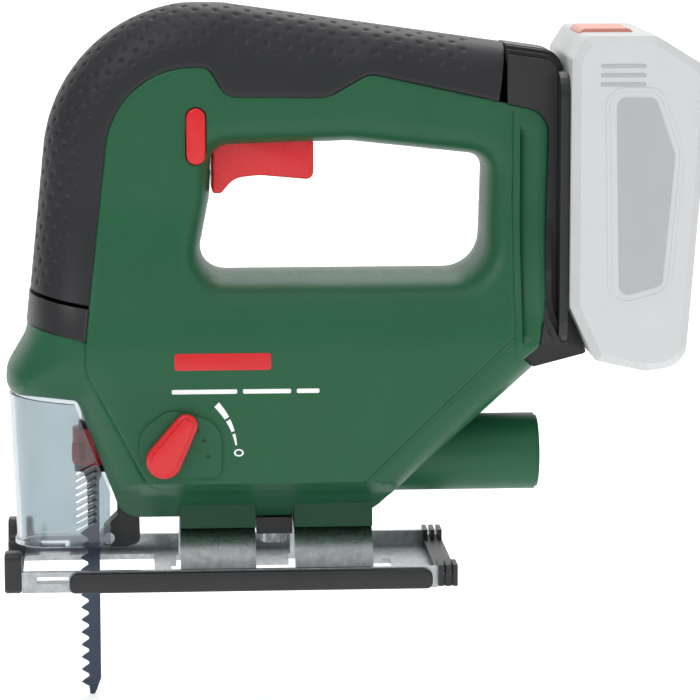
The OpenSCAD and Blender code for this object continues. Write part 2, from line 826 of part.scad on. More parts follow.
module pack_shell() {
  difference() {
    pack_form();
    intersection() {
      side_prism(-pack_half + pack_wall, pack_half - pack_wall)
        offset(delta = -pack_chamfer - pack_wall) polygon(rounded(pack_corners));
      block(pack_x + 11, far, -far, far, 0, crown - 30);
    }
    rail_shape(rail_clear, -20, rail_z[1] + 0.4);
    block(0, pack_x + 9, -13, 13, 0, 140);
    block(button_x[0] - 0.3, button_x[1] + 0.3, -button_half - 0.3, button_half + 0.3, pack_top - 10, far);
  }
}

module battery_case() {
  color(pack_grey) intersection() {
    pack_shell();
    block(0, seam_x, -far, far, 0, far);
  }
}

module battery_cover() {
  color(pack_grey) intersection() {
    pack_shell();
    block(seam_x, far, -far, far, 0, far);
  }
}

module battery_rails() {
  color(dark_steel) for (y = [-9, -3, 3, 9]) difference() {
    block(rear + 4.8, pack_x + 9, y - 1.8, y + 1.8, 118, 138);
    block(0, rear + 7, y - 0.9, y + 0.9, 100, 150);
  }
}

module battery_cells() {
  color("#c9ccd0") for (i = [0:3])
    along_y(-cell_len / 2, cell_len / 2 - 4, cell_r, pack_x + 24, 96 + i * (2 * cell_r + 0.6));
}

module battery_button() {
  color("#e58e7e") side_prism(-button_half, button_half)
    polygon(rounded([[button_x[0], pack_top - 6, 0.8], [button_x[0], pack_top + 1.2, 2],
      [button_x[1], pack_top + 1.2, 2], [button_x[1], pack_top - 6, 0.8]]));
}

module battery_button_spring() {
  color(steel) translate([(button_x[0] + button_x[1]) / 2, 0, pack_top - 10]) difference() {
    cylinder(r = 3, h = 4);
    translate([0, 0, -1]) cylinder(r = 2.2, h = 6);
  }
}

module battery_label() {
  color("#efefef") side_prism(pack_half, pack_half + 0.3)
    polygon(rounded([[pack_x + 17, 104, 3], [pack_x + 15.5, crown - 32, 3], [pack_x + 29, crown - 32, 3],
      [pack_x + 36, crown - 52, 4], [pack_x + 32, 108, 3]]));
}

housing_left();
housing_right();
grip_left();
grip_right();
front_cuff();
rear_frame();
battery_contacts();
housing_screws();
dust_tube();
blade_guard();
gear_case();
motor_can();
motor_bearings();
plunger_bushes();
motor_shaft();
rotor_core();
commutator();
motor_fan();
motor_pinion();
crank_gear();
crank_pin();
crank_counterweight();
gear_shaft();
plunger_rod();
plunger_yoke();
blade_clamp();
clamp_collar();
saw_blade();
pendulum_fork();
blade_roller();
roller_pin();
fork_axle();
orbit_pad();
orbit_lever();
orbit_shaft();
trigger();
trigger_spring();
switch_module();
lock_button();
control_board();
motor_leads();
foot_cradle();
clamp_saddle();
clamp_screw();
foot_plate();
foot_rails();
front_bumper();
rear_clip();
battery_case();
battery_cover();
battery_rails();
battery_cells();
battery_button();
battery_button_spring();
battery_label();
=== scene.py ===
import json
import math
import bpy
import numpy as np
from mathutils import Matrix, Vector
from mathutils.geometry import delaunay_2d_cdt


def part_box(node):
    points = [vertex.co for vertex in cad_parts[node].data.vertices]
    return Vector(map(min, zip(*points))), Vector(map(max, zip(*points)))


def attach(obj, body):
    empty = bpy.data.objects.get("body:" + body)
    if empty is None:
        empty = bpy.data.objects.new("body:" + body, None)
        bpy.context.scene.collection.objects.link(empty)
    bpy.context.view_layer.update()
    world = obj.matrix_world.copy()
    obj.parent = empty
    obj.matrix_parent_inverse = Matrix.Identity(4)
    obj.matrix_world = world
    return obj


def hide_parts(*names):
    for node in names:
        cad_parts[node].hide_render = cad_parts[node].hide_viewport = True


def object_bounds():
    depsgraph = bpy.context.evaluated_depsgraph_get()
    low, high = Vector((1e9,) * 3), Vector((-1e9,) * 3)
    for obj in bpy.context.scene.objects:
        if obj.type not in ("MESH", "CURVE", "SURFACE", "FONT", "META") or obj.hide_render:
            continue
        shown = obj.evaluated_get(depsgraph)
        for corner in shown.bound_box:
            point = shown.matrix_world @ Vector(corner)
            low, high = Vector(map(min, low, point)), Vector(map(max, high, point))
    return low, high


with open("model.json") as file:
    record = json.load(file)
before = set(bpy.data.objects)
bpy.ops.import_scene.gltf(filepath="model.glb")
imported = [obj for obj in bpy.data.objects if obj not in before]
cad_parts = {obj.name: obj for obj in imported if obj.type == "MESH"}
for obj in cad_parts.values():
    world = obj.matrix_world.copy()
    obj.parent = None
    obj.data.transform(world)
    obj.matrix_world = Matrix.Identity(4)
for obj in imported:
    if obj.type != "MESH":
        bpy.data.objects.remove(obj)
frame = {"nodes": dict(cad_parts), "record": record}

bl_info = {
    "name": "Cordless Jigsaw Finish",
    "version": (1, 0, 0),
    "blender": (4, 5, 0),
    "location": "View3D > Sidebar > Jigsaw",
    "description": "Moulded shells, dimpled grip, controls and finishes round the jigsaw's frame",
    "category": "Object",
}

MM = 0.001
CAD_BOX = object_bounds()
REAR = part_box("battery_case")[0][0] / MM - 0.4
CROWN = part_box("battery_case")[1][2] / MM + 10.5
BODY_HALF = -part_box("housing_left")[0][1] / MM
CROWN_CORNER = (-10.3, CROWN + 8)
CROWN_RADIUS = 57
TOP_SLOPE = (CROWN - 17.6 - CROWN_CORNER[1]) / (REAR - CROWN_CORNER[0])
GRIP_END = REAR - 21.0
CUFF_FOOT = (-22.75, 93.4)
GRIP_FOOT = (-2.1, 89.1)

# Side-view corners in millimetres: x, z, rounding radius
LOWER_EDGE = [(REAR - 10.2, 75.9, 0), (97.5, 21.5, 14), (10.5, 21.5, 10), (-5.8, 64.5, 1),
              (-31.2, 67.5, 6), (-30.2, 77, 6), (-23.2, 89, 14), (*CUFF_FOOT, 0)]
GRIP_LINE = [(*GRIP_FOOT, 0), (8.7, CROWN - 21.7, 31), (41.8, CROWN - 21.7, 5),
             (47.8, CROWN - 32.2, 7), (83.8, CROWN - 32.7, 12), (98.5, CROWN - 24.3, 8),
             (REAR - 5.8, CROWN - 38.4, 9), (REAR - 7.5, 102, 30), (REAR - 9.8, 86, 4),
             (REAR - 15.5, 81, 0)]
OPENING = [(43.5, CROWN - 50.7, 6), (42.4, CROWN - 69, 8), (37, 109.8, 9.5),
           (REAR - 29, 109.8, 12), (REAR - 27.9, CROWN - 54.5, 6), (92, CROWN - 49.2, 30)]
GROOVE = [(*GRIP_FOOT, 0), (-2.3, 78, 13), (20.5, 35.4, 9), (94, 35.4, 14), (REAR - 19, 89, 0)]
HALF_WIDTH_Z = [20.5, 31.5, 38, 92, 112, 130, 300]
HALF_WIDTH_Y = [8, 18, BODY_HALF, BODY_HALF, 24, 20, 20]
SCREWS = [(-19, 82), (-10.5, 132), (20, CROWN - 44), (112, CROWN - 42), (REAR - 18, CROWN - 58),
          (REAR - 20, 92), (82, 34), (26, 31.5)]
LEVER = (25.1, 47.1)
LEVER_REACH = 14.8
LEVER_ANGLE = 58
SCALE_RADIUS = 25.6
PRINT_LIFT = 0.15
PRINT_ROOT = 0.4

# Lamps: name, place, width in metres and power in watts
LAMPS = [("key", (-0.7, -1.1, 1.3), 0.9, 8), ("fill", (1.2, -1.2, 0.7), 1.1, 3.5),
         ("rim", (0.3, 1.0, 1.3), 0.8, 5.5), ("top", (0.1, -0.1, 1.6), 1.0, 4)]
LAMP_AIM = (0.09, 0, 0.09)

# Camera: angles in degrees, lens and sensor in millimetres, distance and aim in metres
CAMERA_TURN = -3.9
CAMERA_LIFT = 8.9
CAMERA_LENS = 191.2
CAMERA_SENSOR = 36.0
CAMERA_REACH = 1.34
CAMERA_AIM = (0.0929, 0, 0.0805)


# ---------------------------------------------------------------- plane geometry

def rounded(corners, closed=True, steps=12):
    """Polyline through corners whose points are replaced by tangent arcs of the given radii."""
    out = []
    count = len(corners)
    for i, (x, z, r) in enumerate(corners):
        p = np.array((x, z), float)
        if r == 0 or (not closed and i in (0, count - 1)):
            out.append(p)
            continue
        u = np.array(corners[i - 1][:2], float) - p
        v = np.array(corners[(i + 1) % count][:2], float) - p
        u, v = u / np.linalg.norm(u), v / np.linalg.norm(v)
        half = math.acos(np.clip(u @ v, -1, 1)) / 2
        mid = (u + v) / np.linalg.norm(u + v)
        centre = p + mid * r / math.sin(half)
        start = p + u * r / math.tan(half) - centre
        turn = (math.pi - 2 * half) * (-1 if u[0] * v[1] - u[1] * v[0] > 0 else 1)
        for k in range(steps + 1):
            a = turn * k / steps
            c, s = math.cos(a), math.sin(a)
            out.append(centre + (start[0] * c - start[1] * s, start[0] * s + start[1] * c))
    return np.array(out)


def bar(x0, x1, z0, z1, r):
    """A side-view rectangle whose four corners are rounded by r."""
    return rounded([(x0, z0, r), (x1, z0, r), (x1, z1, r), (x0, z1, r)])


def resample(line, step, closed=False):
    """Points along a polyline at an even arc length close to step."""
    if closed:
        line = np.vstack([line, line[:1]])
    run = np.r_[0, np.cumsum(np.linalg.norm(np.diff(line, axis=0), axis=1))]
    count = max(int(round(run[-1] / step)), 3)
    at = np.linspace(0, run[-1], count + 1)
    out = np.c_[np.interp(at, run, line[:, 0]), np.interp(at, run, line[:, 1])]
    return out[:-1] if closed else out


def left_normals(line, closed=False):
    """Unit normals on the left of the direction of travel, by central differences."""
    if closed:
        d = np.roll(line, -1, 0) - np.roll(line, 1, 0)
    else:
        d = np.gradient(line, axis=0)
    d = d / np.linalg.norm(d, axis=1, keepdims=True)
    return np.c_[-d[:, 1], d[:, 0]]


def distance_to(points, line, closed=False):
    """Shortest distance from every point to any segment of a polyline."""
    a = line if closed else line[:-1]
    b = np.roll(line, -1, 0) if closed else line[1:]
    best = np.full(len(points), 1e9)
    for p, q in zip(a, b):
        d = q - p
        t = np.clip(((points - p) @ d) / max(d @ d, 1e-9), 0, 1)
        best = np.minimum(best, np.linalg.norm(points - p - t[:, None] * d, axis=1))
    return best


def inside(points, loop):
    """Even-odd test of points against a closed loop."""
    a, b = loop, np.roll(loop, -1, 0)
    hit = np.zeros(len(points), bool)
    for p, q in zip(a, b):
        cross = (p[1] > points[:, 1]) != (q[1] > points[:, 1])
        x = p[0] + (points[:, 1] - p[1]) * (q[0] - p[0]) / ((q[1] - p[1]) or 1e-9)
        hit ^= cross & (points[:, 0] < x)
    return hit


def superellipse(t, power):
    """Height of a rounded edge, 0 at t = 0 and 1 at t = 1: (1 - (1-t)^n)^(1/n)."""
    t = np.clip(t, 0, 1)
    return (1 - (1 - t) ** power) ** (1 / power)


# ---------------------------------------------------------------- meshes

def make_piece(name, verts, faces, body, slot, material, sharp=40.0):
    """One mesh object from millimetre points, smooth but split at edges over the sharp angle."""
    mesh = bpy.data.meshes.new(name)
    mesh.from_pydata((np.asarray(verts, float) * MM).tolist(), [], [list(map(int, f)) for f in faces])
    mesh.validate()
    mesh.polygons.foreach_set("use_smooth", [True] * len(mesh.polygons))
    mesh.update()
    mesh.set_sharp_from_angle(angle=math.radians(sharp))
    piece = bpy.data.objects.new(name, mesh)
    bpy.context.collection.objects.link(piece)
    mesh.materials.append(material)
    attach(piece, body)
    return piece


def grid_faces(rows, cols, start=0, flip=False):
    """Quads of a rows by cols grid of points numbered row by row."""
    i = np.arange(rows - 1)[:, None] * cols + np.arange(cols - 1)[None, :] + start
    quads = np.stack([i, i + 1, i + cols + 1, i + cols], -1).reshape(-1, 4)
    return quads[:, ::-1] if flip else quads


def closed_sheet(outer, inner, flip=False):
    """A grid and its inner twin stitched along all four borders into a closed wall."""
    rows, cols = outer.shape[:2]
    shift = rows * cols
    verts = np.vstack([outer.reshape(-1, 3), inner.reshape(-1, 3)])
    ring = np.r_[np.arange(cols), np.arange(1, rows) * cols + cols - 1,
                 (rows - 1) * cols + np.arange(cols - 2, -1, -1), np.arange(rows - 2, 0, -1) * cols]
    nxt = np.roll(ring, -1)
    border = np.stack([nxt, ring, ring + shift, nxt + shift], -1)
    faces = [*grid_faces(rows, cols), *grid_faces(rows, cols, shift, True), *border]
    return verts, [f[::-1] for f in faces] if flip else faces


def inset_loop(loop, depth):
    """A closed loop moved to its inner side by depth along its corner bisectors."""
    area = np.sum(loop[:, 0] * np.roll(loop[:, 1], -1) - np.roll(loop[:, 0], -1) * loop[:, 1])
    return loop + left_normals(loop, True) * depth * (1 if area > 0 else -1)


def plate_surface(loop, y0, y1, edge, steps=4):
    """A closed side-view loop carried from y0 to y1, both rims turned over by a quarter circle."""
    if np.sum(loop[:, 0] * np.roll(loop[:, 1], -1) - np.roll(loop[:, 0], -1) * loop[:, 1]) < 0:
        loop = loop[::-1]
    quarter = np.linspace(0, math.pi / 2, steps + 1)
    levels = [(y0 + edge * (1 - math.sin(a)), edge * (1 - math.cos(a))) for a in quarter[::-1]]
    levels += [(y1 - edge * (1 - math.sin(a)), edge * (1 - math.cos(a))) for a in quarter]
    count = len(loop)
    verts = np.vstack([np.c_[p[:, 0], np.full(count, y), p[:, 1]]
                       for y, d in levels for p in [inset_loop(loop, d)]])
    faces = []
    for k in range(len(levels) - 1):
        i = np.arange(count) + k * count
        j = np.roll(np.arange(count), -1) + k * count
        faces += np.stack([i, i + count, j + count, j], -1).tolist()
    faces.append(list(range(count)))
    faces.append(list(range((len(levels) - 1) * count, len(levels) * count))[::-1])
    return verts, faces


def joined(parts):
    """Several point and face lists as one."""
    verts, faces, start = [], [], 0
    for v, f in parts:
        verts.append(np.asarray(v))
        faces += [[int(n) + start for n in face] for face in f]
        start += len(v)
    return np.vstack(verts), faces


def box_surface(x0, x1, y0, y1, z0, z1):
    """The six faces of an upright block."""
    v = np.array([(x, y, z) for x in (x0, x1) for y in (y0, y1) for z in (z0, z1)])
    return v, [(0, 1, 3, 2), (4, 6, 7, 5), (0, 4, 5, 1), (2, 3, 7, 6), (0, 2, 6, 4), (1, 5, 7, 3)]


def rod_surface(x, z, r, y0, y1, sides=32):
    """A round rod along y: a circle of even steps carried from y0 to y1."""
    a = np.linspace(0, 2 * math.pi, sides, endpoint=False)
    loop = np.c_[x + r * np.cos(a), z + r * np.sin(a)]
    return plate_surface(loop, y0, y1, 0.01, 1)


def cut_away(piece, cutter_parts):
    """Takes closed cutter shapes out of a piece and keeps the result as its mesh."""
    verts, faces = joined(cutter_parts)
    mesh = bpy.data.meshes.new("cutter")
    mesh.from_pydata((verts * MM).tolist(), [], faces)
    cutter = bpy.data.objects.new("cutter", mesh)
    bpy.context.collection.objects.link(cutter)
    cut = piece.modifiers.new("cut", "BOOLEAN")
    cut.object, cut.operation, cut.solver = cutter, "DIFFERENCE", "EXACT"
    view = bpy.context.evaluated_depsgraph_get()
    shaped = bpy.data.meshes.new_from_object(piece.evaluated_get(view))
    piece.modifiers.clear()
    old, piece.data = piece.data, shaped
    bpy.data.objects.remove(cutter)
    bpy.data.meshes.remove(mesh)
    bpy.data.meshes.remove(old)


# ---------------------------------------------------------------- finishes

def linear(code):
    """An sRGB hex colour as linear red, green, blue and alpha."""
    rgb = [int(code[i:i + 2], 16) / 255 for i in (1, 3, 5)]
    return [c / 12.92 if c <= 0.04045 else ((c + 0.055) / 1.055) ** 2.4 for c in rgb] + [1.0]


def add(tree, kind, links=(), **settings):
    """A node with its settings, and links given as input name, source socket."""
    node = tree.nodes.new(kind)
    for key, value in settings.items():
        if hasattr(node, key):
            setattr(node, key, value)
        else:
            node.inputs[key.replace("_", " ")].default_value = value
    for name, source in links:
        tree.links.new(source, node.inputs[name])
    return node


def shades(group_colour, spread):
    """A darker and a lighter shade round a linear colour."""
    return [[c * k for c in group_colour] + [1.0] for k in (1 - spread, 1 + spread)]


def surface(name, dark, light, rough, grain_mm, bump_mm, metallic=0.0, stretch=(1, 1, 1), cloud_mm=18.0,
            rough_swing=0.08, **sockets):
    """A finish: two close colours in soft clouds, a fine grain for the bump, roughness that wanders."""
    material = bpy.data.materials.new(name)
    material.use_nodes = True
    tree = material.node_tree
    shader = tree.nodes["Principled BSDF"]
    place = add(tree, "ShaderNodeTexCoord").outputs["Object"]
    grain_place = add(tree, "ShaderNodeMapping", [("Vector", place)], Scale=stretch).outputs[0]
    cloud = add(tree, "ShaderNodeTexNoise", [("Vector", place)], Scale=1000 / cloud_mm, Detail=4.0)
    grain = add(tree, "ShaderNodeTexNoise", [("Vector", grain_place)], Scale=1000 / grain_mm, Detail=3.0)
    tint = add(tree, "ShaderNodeMix", [("Factor", cloud.outputs[0])], data_type="RGBA")
    dark, light = (linear(c) if isinstance(c, str) else c for c in (dark, light))
    tint.inputs["A"].default_value = dark
    tint.inputs["B"].default_value = light
    swing = add(tree, "ShaderNodeMapRange", [("Value", grain.outputs[0])])
    swing.inputs["To Min"].default_value = rough - rough_swing
    swing.inputs["To Max"].default_value = rough + rough_swing
    bump = add(tree, "ShaderNodeBump", [("Height", grain.outputs[0])], Strength=0.6, Distance=bump_mm * MM)
    tree.links.new(tint.outputs["Result"], shader.inputs["Base Color"])
    tree.links.new(swing.outputs[0], shader.inputs["Roughness"])
    tree.links.new(bump.outputs[0], shader.inputs["Normal"])
    shader.inputs["Metallic"].default_value = metallic
    for key, value in sockets.items():
        shader.inputs[key.replace("_", " ")].default_value = value
    material.diffuse_color = light
    return material


def moulded_abs():
    """ABS moulded in a spark-eroded tool: satin, with a fine even grain about 0.5 mm coarse."""
    dark, light = shades(bpy.context.scene.jigsaw_colours.housing, 0.09)
    return surface("moulded_abs_green", dark, light, 0.42, 0.55, 0.05, Specular_IOR_Level=0.32)


def moulded_elastomer():
    """Soft thermoplastic elastomer over the core: dull, slightly greasy sheen."""
    dark, light = shades(bpy.context.scene.jigsaw_colours.grip, 0.12)
    return surface("moulded_elastomer", dark, light, 0.46, 0.45, 0.06, Specular_IOR_Level=0.32)


def glass_filled_nylon():
    """Glass-filled nylon: near black, matt, with a rough eroded grain."""
    return surface("glass_filled_nylon", "#1c1d1f", "#242527", 0.42, 0.5, 0.05)


def moulded_acetal_red():
    """Red acetal from a polished tool: smooth and fairly glossy, with faint moulding ripples."""
    dark, light = shades(bpy.context.scene.jigsaw_colours.controls, 0.05)
    return surface("moulded_acetal_red", dark, light, 0.28, 2.5, 0.015, rough_swing=0.04)


def rolled_sheet_steel():
    """Galvanised pressed sheet: bright, mottled by its zinc crystals."""
    return surface("rolled_sheet_steel", "#878c90", "#ccd0d2", 0.32, 1.1, 0.03, metallic=1.0,
                   cloud_mm=2.6, rough_swing=0.14)


def turned_steel():
    """Turned and ground steel: bright and tight."""
    return surface("turned_steel", "#a3a6a9", "#bfc2c4", 0.26, 0.5, 0.008, metallic=1.0)


def phosphated_steel():
    """Phosphated steel: dark grey crystals, dull."""
    return surface("phosphated_steel", "#3a3c40", "#4c4f54", 0.5, 0.4, 0.02, metallic=0.8)


def ground_blade_steel():
    """Blued tool-steel blade, ground across its width."""
    return surface("ground_blade_steel", "#39414d", "#4c5562", 0.34, 0.5, 0.012, metallic=0.9,
                   stretch=(0.1, 1, 1))


def die_cast_alloy():
    """Die-cast aluminium: pale grey, softly pitted."""
    return surface("die_cast_alloy", "#8d9093", "#a4a7aa", 0.46, 0.9, 0.04, metallic=0.9)


def coated_alloy():
    """Die casting under a green powder coat: satin with a faint orange peel."""
    return surface("coated_alloy", "#17482f", "#1c5236", 0.46, 1.4, 0.03, Specular_IOR_Level=0.32)


def sintered_bronze():
    """Oil-filled sintered bronze: warm brown metal with open pores."""
    return surface("sintered_bronze", "#8a6230", "#a87c42", 0.42, 0.5, 0.03, metallic=0.9)


def solder_mask():
    """Green lacquer over a glass-fibre board."""
    return surface("solder_mask", "#12492a", "#1a5a35", 0.3, 1.2, 0.01)


def pale_pack_abs():
    """Pale grey ABS of the pack, satin grain."""
    dark, light = shades(bpy.context.scene.jigsaw_colours.pack, 0.04)
    return surface("pale_pack_abs", dark, light, 0.46, 0.55, 0.04)


def salmon_acetal():
    """Pale red acetal of the pack's release button."""
    return surface("salmon_acetal", "#dc8c7c", "#e79c8c", 0.38, 1.5, 0.02)


def label_film_and_vent_shade():
    """Thin grey film with a satin lacquer for the pack's label; the same grey also paints the shade of the
    pack's vent slots.
    """
    return surface("label_film_and_vent_shade", "#acaeb0", "#b6b8ba", 0.4, 1.0, 0.008)


def printed_white():
    """White screen print, slightly raised."""
    return surface("printed_white", "#f2f2f2", "#fbfbfb", 0.4, 1.0, 0.008)


def printed_red():
    """Red screen print, slightly raised."""
    return surface("printed_red", "#cc1a20", "#d82228", 0.4, 1.0, 0.008)


def nickel_can():
    """Nickel-plated drawn steel can of a cell."""
    return surface("nickel_can", "#b4b6b8", "#c8cacc", 0.28, 0.8, 0.006, metallic=1.0)


def clear_polycarbonate():
    """Clear moulded polycarbonate: polished faces, a trace of flow lines and a cool grey body."""
    return surface("clear_polycarbonate", "#bcc7cc", "#cbd4d8", 0.08, 6.0, 0.03, rough_swing=0.04,
                   Transmission_Weight=0.96, IOR=1.5)


def studio_paper():
    """Seamless white background paper."""
    return surface("studio_paper", "#f8f8f8", "#fdfdfd", 0.8, 3.0, 0.01, Emission_Color=(1, 1, 1, 1),
                   Emission_Strength=0.38)


FINISH_MAKERS = {
    "housing_green": moulded_abs, "soft_grip": moulded_elastomer,
    "black_plastic": glass_filled_nylon, "signal_red": moulded_acetal_red,
    "bright_steel": turned_steel, "dark_steel": phosphated_steel, "blade_steel": ground_blade_steel,
    "cast_alloy": die_cast_alloy, "bronze": sintered_bronze, "clear_guard": clear_polycarbonate,
    "circuit_board": solder_mask, "pack_grey": pale_pack_abs, "pack_label": label_film_and_vent_shade,
    "pack_button": salmon_acetal, "cell_metal": nickel_can, "sheet_steel": rolled_sheet_steel,
    "coated_alloy": coated_alloy,
    "print_red": printed_red, "print_white": printed_white, "paper": studio_paper,
}
FINISHES = {}


def finish(slot):
    """The finish of a slot, made once."""
    if slot not in FINISHES:
        FINISHES[slot] = FINISH_MAKERS[slot]()
    return FINISHES[slot]


# ---------------------------------------------------------------- the moulded shells

def half_width(z):
    """Half width of the body at height z: keel, belly, waist and handle, eased over a few mm."""
    ease = [np.interp(z + k, HALF_WIDTH_Z, HALF_WIDTH_Y) for k in (-6, -3, 0, 3, 6)]
    return np.where(z < 60, np.interp(z, HALF_WIDTH_Z, HALF_WIDTH_Y), np.mean(ease, axis=0))


def shell_depth(points, sizes, lines):
    """How far the outer face stands out at side-view points: the half width, rolled down to nothing
    by a superellipse at the lower edge and at the handle opening, less the grooves and scoops."""
    x, z = points[:, 0], points[:, 1]
    low = distance_to(points, lines["low"])
    gap = distance_to(points, lines["opening"], True)
    seam = distance_to(points, lines["grip"])
    reach = sizes.edge_roll + 6.6 * np.clip((z - 40) / 30, 0, 1) * (x < 40)
    broad = np.interp(z, [38, 60, 92, 300], [BODY_HALF] * 3 + [20])
    depth = np.where(z < 60, broad, half_width(z))
    depth = depth * superellipse(low / reach, 2.7) * superellipse(gap / sizes.opening_roll, 2.7)
    depth = np.minimum(depth, np.interp(z, HALF_WIDTH_Z, HALF_WIDTH_Y) + 60 * (z > 60) + 200 * (low > 60))
    groove = distance_to(points, lines["groove"])
    depth -= sizes.groove_depth * np.exp(-(groove / 0.5) ** 2)
    depth -= 0.7 * np.clip(1 - seam / 0.9, 0, 1) ** 2
    scoop = np.clip((x - (REAR - 16.2)) / 0.5, 0, 1) * np.clip((REAR - 9.8 - x) / 6.2, 0, 1)
    depth -= 2.6 * scoop * np.clip((z - 86) / 3, 0, 1) * np.clip((CROWN - 43 - z) / 3, 0, 1)
    line = np.exp(-((x - (REAR - 18.6)) / 0.4) ** 2)
    depth -= 0.5 * line * (z > 82) * (z < CROWN - 36)
    return np.maximum(depth, 0)


def shell_points(sizes, region, lines):
    """Side-view points: rows that crowd towards the edges, rows on grooves, and a plain grid."""
    rows = [region, resample(lines["opening"], 1.3, True)]
    offsets = [0.2, 0.6, 1.2, 2.0, 3.1, 4.6, 6.5, 9.0]
    low = resample(lines["low"], 1.4)
    opening = resample(lines["opening"], 1.4, True)
    grip = resample(lines["grip"], 1.4)
    groove = resample(lines["groove"], 1.0)
    for line, closed, steps in ((groove, False, [0, 0.35, 0.8, 1.5]), (low, False, offsets),
                                (opening, True, offsets), (grip, False, [0.5, 1.0])):
        for d in steps:
            for side in (1, -1):
                row = line + left_normals(line, closed) * d * side
                row = row[np.abs(distance_to(row, line, closed) - d) < 0.05 * d + 0.02]
                rows.append(row)
    for x in (-18.9, -18.6, -18.3, -16.3, -16.1, -15.7, -14, -12, -10, -9.7):
        rows.append(np.c_[np.full(80, REAR + x), np.linspace(83, CROWN - 38, 80)])
    for z in (31.5, 37.4, 38, 38.6):
        rows.append(np.c_[np.linspace(2, 116, 80), np.full(80, z)])
    gx, gz = np.meshgrid(np.arange(-32, REAR, 2.1), np.arange(20, CROWN, 2.1))
    grid = np.c_[gx.ravel() + 0.5 * (np.arange(gx.size) % 2), gz.ravel()]
    keep = (distance_to(grid, low) > 9.5) & (distance_to(grid, opening, True) > 9.5)
    keep &= distance_to(grid, groove) > 1.9
    rows.append(grid[keep])
    loose = np.vstack(rows[2:])
    ok = inside(loose, region) & ~inside(loose, lines["opening"])
    ok &= (distance_to(loose, region, True) > 0.15) & (distance_to(loose, lines["opening"], True) > 0.15)
    return rows[0], rows[1], loose[ok]


def shell_surface(sizes):
    """One hollow housing half: the outer face, an inner face one wall behind it, and the rim."""
    lines = {"low": rounded(LOWER_EDGE, False), "grip": rounded(GRIP_LINE, False),
             "opening": rounded(OPENING, True), "groove": rounded(GROOVE, False)}
    region = resample(np.vstack([lines["grip"], lines["low"]]), 1.3, True)
    edge, hole, loose = shell_points(sizes, region, lines)
    flat = np.vstack([edge, hole, loose])
    loops = [(i, (i + 1) % len(edge)) for i in range(len(edge))]
    loops += [(len(edge) + i, len(edge) + (i + 1) % len(hole)) for i in range(len(hole))]
    verts, _, tris, _, _, _ = delaunay_2d_cdt([Vector(p) for p in flat.tolist()], loops, [], 0, 1e-4)
    pts, tris = np.array([tuple(v) for v in verts]), np.array([list(t) for t in tris])
    mid = pts[tris].mean(axis=1)
    tris = tris[inside(mid, edge) & ~inside(mid, hole)]
    a, b, c = (pts[tris[:, k]] for k in range(3))
    turn = (b[:, 0] - a[:, 0]) * (c[:, 1] - a[:, 1]) - (b[:, 1] - a[:, 1]) * (c[:, 0] - a[:, 0])
    tris = np.where(turn[:, None] > 0, tris, tris[:, ::-1])[np.abs(turn) > 1e-7]
    depth = shell_depth(pts, sizes, lines)
    depth[distance_to(pts, lines["opening"], True) < 0.02] = 0
    depth[distance_to(pts, lines["low"]) < 0.02] = 0
    tris = tris[depth[tris].max(axis=1) > 0]
    back = np.maximum(depth - sizes.shell_wall, 0)
    count = len(pts)
    twin = np.where(depth > 0, np.arange(count) + count, np.arange(count))
    outer = np.c_[pts[:, 0], -depth, pts[:, 1]]
    inner = np.c_[pts[:, 0], -back, pts[:, 1]]
    edges = np.vstack([tris[:, [0, 1]], tris[:, [1, 2]], tris[:, [2, 0]]])
    keys = {(int(p), int(q)) for p, q in edges}
    faces = tris.tolist() + twin[tris][:, ::-1].tolist()
    for p, q in keys:
        if (q, p) in keys:
            continue
        rim = [q, p, int(twin[p]), int(twin[q])]
        rim = [v for i, v in enumerate(rim) if v not in rim[:i]]
        if len(rim) > 2:
            faces.append(tuple(rim))
    return np.vstack([outer, inner]), faces


def shell_cutters(side):
    """What is taken out of a housing half, in groups whose members stay clear of each other:
    trigger slot, button slot and screw wells, then the plunger pocket, then the fork's slot."""
    parts = [box_surface(42.6, 79.7, -11.45, 11.45, CROWN - 60, CROWN - 34.6),
             plate_surface(lock_outline(0.35), -40, 40, 0.01, 1)]
    if side > 0:
        heads = [9, 9, 12, 12, 12, 12, 10, 8]
        parts += [rod_surface(x, z, 3.6, head, 45) for (x, z), head in zip(SCREWS, heads)]
    else:
        parts.append(rod_surface(*LEVER, 3.05, -45, -20))
    return [parts, [box_surface(-12, 9, -11.5, 11.5, 12, 66)], [box_surface(4.5, 20.5, -6, 6, 10, 35.5)]]


def lock_outline(grow):
    """The pill outline of the lock-off button, from its own node's box."""
    lo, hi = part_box("lock_button")
    x0, x1, z0, z1 = lo[0] / MM - grow, hi[0] / MM + grow, lo[2] / MM - grow, hi[2] / MM + grow
    r = (x1 - x0) / 2 - 0.001
    return bar(x0, x1, z0, z1, r)


# ---------------------------------------------------------------- the soft grip

def meet(points, ways, line):
    """Where rays from points first meet a polyline, by the two-line crossing formula."""
    best = np.full(len(points), 60.0)
    for a, b in zip(line[:-1], line[1:]):
        d = b - a
        det = ways[:, 0] * d[1] - ways[:, 1] * d[0]
        det = np.where(np.abs(det) < 1e-9, 1e-9, det)
        rel = a - points
        t = (rel[:, 0] * d[1] - rel[:, 1] * d[0]) / det
        s = (rel[:, 0] * ways[:, 1] - rel[:, 1] * ways[:, 0]) / det
        ok = (t > 2) & (s >= -1e-6) & (s <= 1 + 1e-6)
        best = np.where(ok, np.minimum(best, t), best)
    return points + ways * best[:, None]


